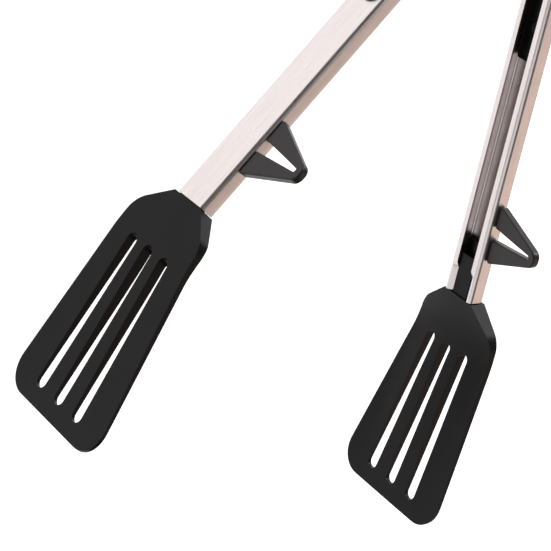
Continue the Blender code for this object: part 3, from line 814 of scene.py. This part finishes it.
lock = {
    "plate": 0.0008, "half": 0.0040, "corner": 0.0028, "back": 0.0195, "front": 0.0250, "plateEdge": 0.0002,
    "travel": 0.006, "crossPin": 0.00125, "crossAt": 0.022, "crossProud": 0.0004, "crossEdge": 0.0003,
    "tabPinAt": 0.016, "tabPinHead": 0.0020, "tabPinRoot": 0.0003, "tabPinProud": 0.0006,
    "tabPinEdge": 0.00025,
}

tab = {
    "neckHalf": 0.0050, "half": 0.0110, "neckStart": 0.0080, "neckEnd": 0.0200, "loopStart": 0.0280,
    "end": 0.0500, "rim": 0.0040, "loopInset": 0.0005, "softEdge": 0.0010,
    "neckCorner": 0.0025, "flareCorner": 0.0060, "endCorner": 0.0100, "loopCorner": 0.0042,
}


def uprightEdge(part):
    # an edge along the hinge axis
    start, end = (vert.co for vert in part.verts)
    return abs(start.x - end.x) < same and abs(start.y - end.y) < same


def slidePlate(name, sign):
    low, high = sorted((sign * hinge["gauge"], sign * (hinge["gauge"] + lock["plate"])))
    piece = block(name, (-lock["half"], -lock["front"], low), (lock["half"], lock["back"], high))
    edit(piece)
    roundEdges(piece, lambda mid, part: lock["corner"] if uprightEdge(part) else 0, 12)
    done()
    slot = block("slot", (-arm["bore"], -lock["travel"], low - past), (arm["bore"], 0, high + past))
    for y in (0, -lock["travel"]):
        carve(slot, rod("slotEnd", arm["bore"], low - past, high + past, y=y, sides=64), "UNION")
    carve(piece, slot)
    for y in (-lock["crossAt"], lock["tabPinAt"]):
        carve(piece, rod("hole", lock["crossPin"] + gap, low - past, high + past, y=y))
    return eased(piece, lock["plateEdge"], 3, 50)


def makeTab():
    thick = hinge["gauge"] - gap
    piece = block("pullTab", (-tab["neckHalf"], tab["neckStart"], -thick),
                  (tab["neckHalf"], tab["neckEnd"], thick))
    edit(piece)
    pick(piece, "FACE", lambda mid, part: part.normal.y > 0.9)
    flareLength = tab["loopStart"] - tab["neckEnd"]
    bpy.ops.mesh.extrude_region_move(TRANSFORM_OT_translate={"value": (0, flareLength, 0)})
    bpy.ops.transform.resize(value=(tab["half"] / tab["neckHalf"], 1, 1))
    bpy.ops.mesh.extrude_region_move(TRANSFORM_OT_translate={"value": (0, tab["end"] - tab["loopStart"], 0)})
    turn = math.atan2(tab["half"] - tab["neckHalf"], flareLength)
    soft = tab["flareCorner"] * math.tan(turn / 2)
    lengths = {tab["neckStart"]: tab["neckCorner"], tab["neckEnd"]: soft, tab["loopStart"]: soft,
               tab["end"]: tab["endCorner"]}
    roundEdges(piece, lambda mid, part: uprightEdge(part) and next(
        (length for y, length in lengths.items() if abs(mid.y - y) < same), 0), 14)
    done()
    through = 10 * past
    loop = block("loop", (tab["rim"] - tab["half"], tab["loopStart"] + tab["loopInset"], -through),
                 (tab["half"] - tab["rim"], tab["end"] - tab["rim"], through))
    edit(loop)
    roundEdges(loop, lambda mid, part: tab["loopCorner"] if uprightEdge(part) else 0, 14)
    done()
    carve(piece, loop)
    eased(piece, tab["softEdge"], 5, 50)
    return carve(piece, rod("tabPinHole", lock["crossPin"] + gap, -through, through, y=lock["tabPinAt"]))


def makeLock():
    for level, sign in (("lower", -1), ("upper", 1)):
        plate = slidePlate(level + "SlidePlate", sign)
        handOver(toHinge(plate), "lock", level + "_slide_plate", steel)
    reach = arm["width"] / 2 + lock["crossProud"]
    cross = rod("lockCrossPin", lock["crossPin"], -reach, reach, y=-lock["crossAt"])
    eased(cross, lock["crossEdge"], 4, 60)
    outside = hinge["gauge"] + lock["plate"] + gap
    tabPin = rod("pullTabPin", lock["crossPin"], -outside - lock["tabPinRoot"], outside + lock["tabPinProud"],
                 y=lock["tabPinAt"])
    pinHead = rod("pinHead", lock["tabPinHead"], -outside - lock["tabPinProud"], -outside, y=lock["tabPinAt"])
    carve(tabPin, pinHead, "UNION")
    eased(tabPin, lock["tabPinEdge"], 4, 60)
    handOver(toHinge(cross), "lock", "lock_cross_pin", steel)
    handOver(toHinge(tabPin), "lock", "pull_tab_pin", steel)
    handOver(toHinge(makeTab()), "lock", "pull_tab", nylon)


makeHinge()
makeSpring()
makeLock()
print("hinge, spring and lock ready")


# Studio: white floor, soft light and the camera

studio = {
    "floorSize": 6, "floorDrop": 0.0002, "floorColour": "#F4F4F4", "floorGlow": 0.84,     # an overlit sweep
    "airColour": "#E6DAD3", "air": 0.14,
}

lamps = {
    # place, size, watts and colour; each one faces the tongs
    "topFill": ((0.25, 0.6, 1.2), (1.0, 0.8), 2.0, "#FFFFFF"),
    "warmCard": ((1.25, -0.33, 0.85), (1.3, 1.1), 4.4, "#FFE7D8"),
    "hingeSide": ((0.35, 1.1, 0.40), (1.0, 0.5), 11, "#FFFFFF"),
    "bladeSide": ((-0.62, -0.80, 0.75), (1.0, 1.3), 3.9, "#FFFFFF"),
}

# degrees and metres in the tongs' own place, and a lens for a 36 mm sensor
camera = {"yaw": -105.16, "pitch": 45.38, "roll": 128.35, "away": 0.74811, "aim": (-0.02211, -0.20225, 0),
          "lens": 138.12, "sensor": 36}


def studioFloor():
    bpy.ops.object.select_all(action="DESELECT")
    bpy.ops.mesh.primitive_plane_add(size=studio["floorSize"], location=(0, 0, -studio["floorDrop"]))
    floor = named("studioFloor")
    finish = bpy.data.materials.new("whiteSweep")
    finish.use_nodes = True
    shader = finish.node_tree.nodes["Principled BSDF"]
    shader.inputs["Base Color"].default_value = hexColour(studio["floorColour"])
    shader.inputs["Roughness"].default_value = 0.9
    shader.inputs["Emission Color"].default_value = hexColour("#FFFFFF")
    shader.inputs["Emission Strength"].default_value = studio["floorGlow"]
    floor.data.materials.append(finish)


def studioWorld():
    world = bpy.data.worlds.new("studio")
    bpy.context.scene.world = world
    world.use_nodes = True
    air = world.node_tree.nodes["Background"]
    air.inputs["Color"].default_value = hexColour(studio["airColour"])
    air.inputs["Strength"].default_value = studio["air"]


def softLight(name, place, size, power, colour):
    bpy.ops.object.light_add(type="AREA", location=place)
    lamp = bpy.context.object
    lamp.name = name
    lamp.data.shape = "RECTANGLE"
    lamp.data.size, lamp.data.size_y = size
    lamp.data.energy = power
    lamp.data.color = hexColour(colour)[:3]
    lamp.rotation_euler = Vector(place).to_track_quat("Z", "Y").to_euler()


def placeCamera():
    yaw, pitch, roll = (math.radians(camera[key]) for key in ("yaw", "pitch", "roll"))
    back = Vector((math.sin(yaw) * math.cos(pitch), -math.cos(yaw) * math.cos(pitch), math.sin(pitch)))
    level = (-back).cross(Vector((0, 0, 1))).normalized()
    steep = level.cross(-back)
    across = math.cos(roll) * level + math.sin(roll) * steep
    upward = math.cos(roll) * steep - math.sin(roll) * level
    view = Matrix((across, upward, back)).transposed().to_4x4()
    view.translation = Vector(camera["aim"]) + camera["away"] * back
    bpy.ops.object.camera_add()
    eye = bpy.context.object
    eye.matrix_world = tongsPlace @ view
    eye.data.lens = camera["lens"]
    eye.data.sensor_width = camera["sensor"]
    bpy.context.scene.camera = eye


studioFloor()
studioWorld()
for name, (place, size, power, colour) in lamps.items():
    softLight(name, place, size, power, colour)
bpy.context.scene.view_settings.view_transform = "Standard"
placeCamera()
print("studio ready")
